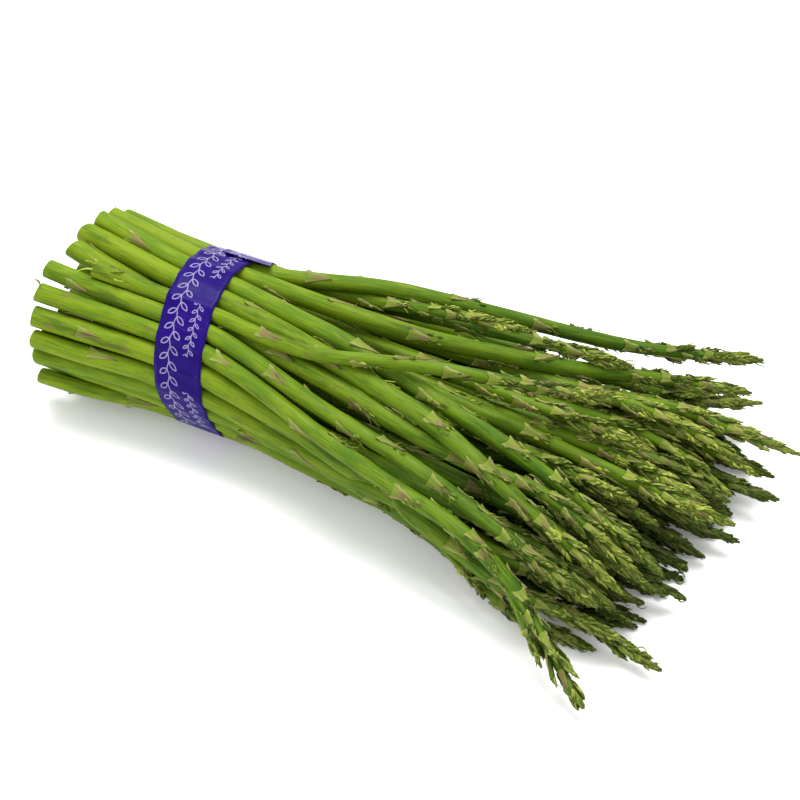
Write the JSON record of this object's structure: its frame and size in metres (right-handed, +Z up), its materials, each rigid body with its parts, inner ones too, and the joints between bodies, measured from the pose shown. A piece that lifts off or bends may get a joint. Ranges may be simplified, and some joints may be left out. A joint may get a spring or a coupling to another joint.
{
  "type": "asparagus bunch",
  "caption": "Bunch of green asparagus lying on its side, held near the cut ends by a wrap of plastic tape, with the heads fanned out.",
  "frame": {"origin": "on the surface that the bunch lies on, under the centre of the whole bunch's bounding box", "axes": "+X along the bunch from the cut ends towards the heads, +Y across it towards the side that the picture doesn't show, +Z up"},
  "size_m": [0.294, 0.1842, 0.0687],
  "materials": {
    "asparagus_light": "satin",
    "asparagus_mid": "satin",
    "asparagus_deep": "satin",
    "tape": "gloss"
  },
  "bodies": {
    "root": {"spear_01": "asparagus_light", "spear_02": "asparagus_mid", "spear_03": "asparagus_deep", "spear_04": "asparagus_light", "spear_05": "asparagus_mid", "spear_06": "asparagus_deep", "spear_07": "asparagus_light", "spear_08": "asparagus_mid", "spear_09": "asparagus_deep", "spear_10": "asparagus_light", "spear_11": "asparagus_mid", "spear_12": "asparagus_deep", "spear_13": "asparagus_light", "spear_14": "asparagus_mid", "spear_15": "asparagus_deep", "spear_16": "asparagus_light", "spear_17": "asparagus_mid", "spear_18": "asparagus_deep", "spear_19": "asparagus_light", "spear_20": "asparagus_mid", "spear_21": "asparagus_deep", "spear_22": "asparagus_light", "spear_23": "asparagus_mid", "spear_24": "asparagus_deep", "spear_25": "asparagus_light", "spear_26": "asparagus_mid", "spear_27": "asparagus_deep", "spear_28": "asparagus_light", "spear_29": "asparagus_mid", "spear_30": "asparagus_deep", "spear_31": "asparagus_light", "spear_32": "asparagus_mid", "spear_33": "asparagus_deep", "spear_34": "asparagus_light", "spear_35": "asparagus_mid", "spear_36": "asparagus_deep", "spear_37": "asparagus_light", "spear_38": "asparagus_mid", "spear_39": "asparagus_deep", "spear_40": "asparagus_light", "spear_41": "asparagus_mid", "spear_42": "asparagus_deep", "spear_43": "asparagus_light", "spear_44": "asparagus_mid", "spear_45": "asparagus_deep", "spear_46": "asparagus_light", "spear_47": "asparagus_mid", "spear_48": "asparagus_deep", "spear_49": "asparagus_light", "spear_50": "asparagus_mid", "spear_51": "asparagus_deep", "spear_52": "asparagus_light", "spear_53": "asparagus_mid", "spear_54": "asparagus_deep", "spear_55": "asparagus_light", "spear_56": "asparagus_mid", "spear_57": "asparagus_deep", "spear_58": "asparagus_light", "spear_59": "asparagus_mid", "tape_band": "tape"}
  },
  "joints": []
}
